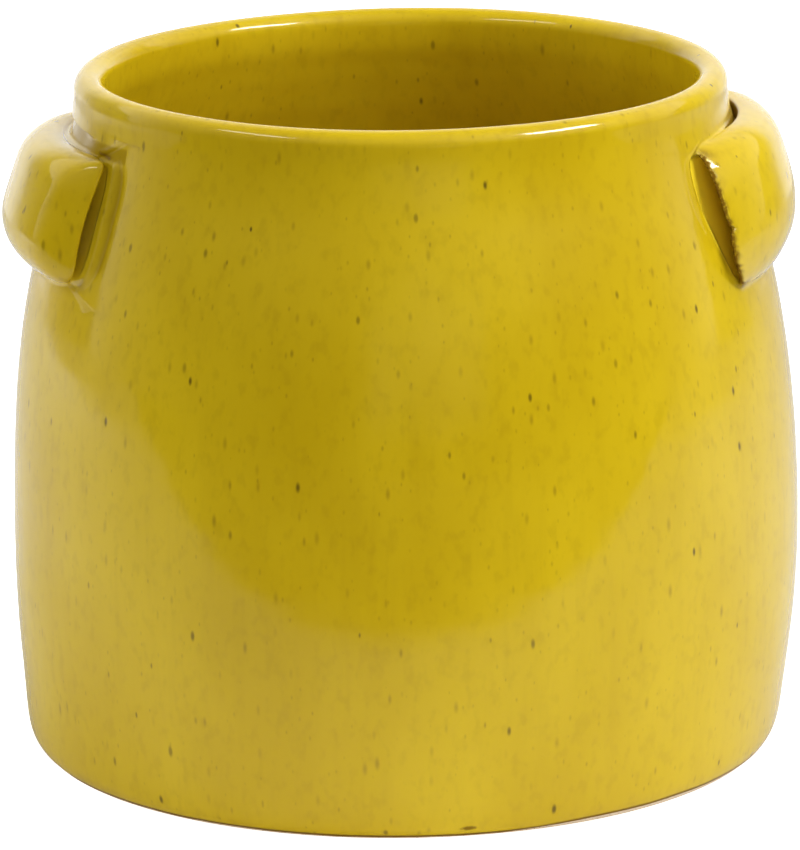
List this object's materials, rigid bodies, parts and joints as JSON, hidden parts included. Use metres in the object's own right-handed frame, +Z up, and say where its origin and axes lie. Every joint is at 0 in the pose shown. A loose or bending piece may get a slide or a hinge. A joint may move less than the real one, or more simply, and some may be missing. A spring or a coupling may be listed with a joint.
{
  "type": "planter pot",
  "caption": "Wide-mouthed round planter pot in glossy speckled mustard glaze, with a rolled rim, a full belly and broad ear lugs on the shoulder that are open from front to back.",
  "frame": {"origin": "on the surface that the pot stands on, under the middle of the pot", "axes": "+Z up through the mouth; +X towards the right lug and -X towards the left lug as seen from the front; -Y is the front, the side that the picture shows"},
  "size_m": [0.2906, 0.2894, 0.25],
  "materials": {
    "glazed_stoneware": "gloss"
  },
  "bodies": {
    "root": {"pot_wall": "glazed_stoneware", "pot_floor": "glazed_stoneware", "lug_right": "glazed_stoneware", "lug_left": "glazed_stoneware"}
  },
  "joints": []
}
